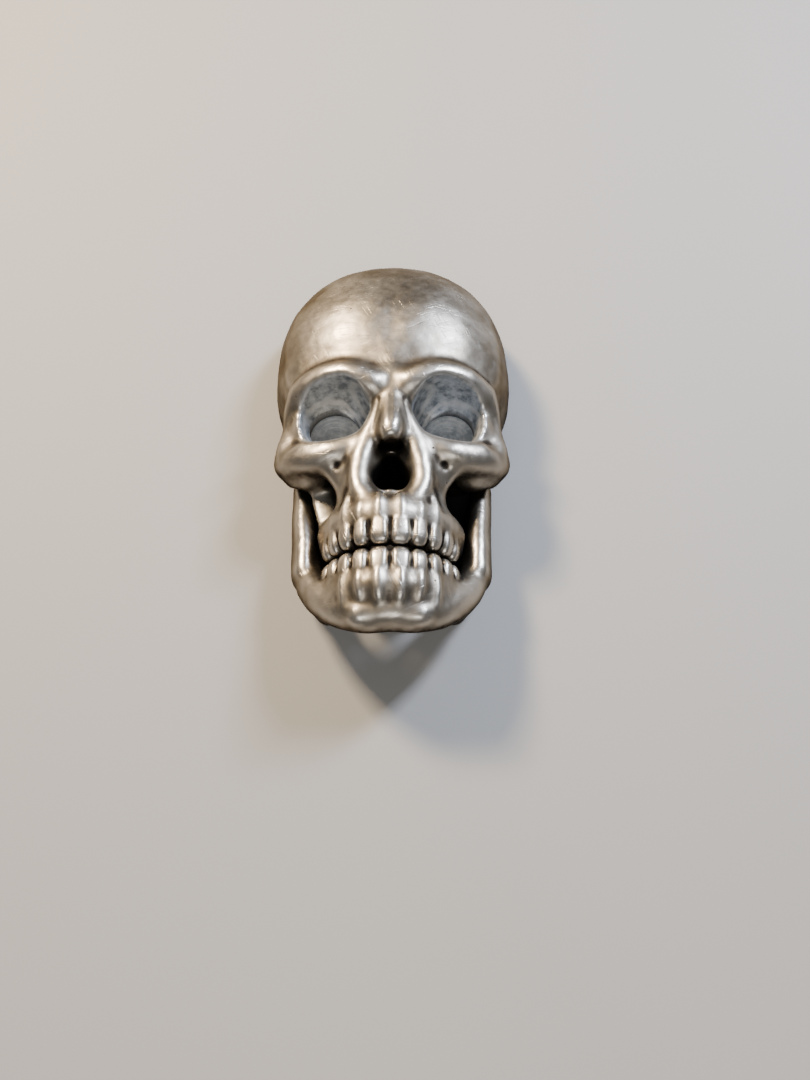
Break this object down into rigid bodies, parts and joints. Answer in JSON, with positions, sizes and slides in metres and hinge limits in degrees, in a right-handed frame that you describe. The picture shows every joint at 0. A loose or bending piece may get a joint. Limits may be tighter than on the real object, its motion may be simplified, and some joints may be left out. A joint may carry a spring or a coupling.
{
  "type": "snowboard stomp pad",
  "caption": "Skull-shaped cast metal stomp pad: domed cranium, deep round eye sockets, two rows of teeth and a separate jaw band on a flat backing plate with an adhesive pad.",
  "frame": {"origin": "centre of the object's box at the adhesive face, which lies on the board", "axes": "+Z out of the board through the face of the skull, +Y to the crown, -Y to the chin, +X to the right as seen from the front"},
  "size_m": [0.05, 0.0878, 0.026],
  "materials": {
    "pewter": "cast pewter, satin, antiqued in the hollows and worn bright on the edges",
    "dark_pewter": "cast pewter with a dark blue-grey patina and circular tool marks",
    "plate_plastic": "moulded black plastic, matt",
    "adhesive_foam": "closed-cell acrylic foam, matt",
    "screw_steel": "turned steel, plain"
  },
  "bodies": {
    "root": {"upper_skull": "pewter", "lower_jaw": "pewter", "eye_cup_left": "dark_pewter", "eye_cup_right": "dark_pewter", "backing_plate": "plate_plastic", "adhesive_pad": "adhesive_foam", "skull_screw_left": "screw_steel", "skull_screw_right": "screw_steel", "jaw_screw_left": "screw_steel", "jaw_screw_right": "screw_steel"}
  },
  "joints": []
}
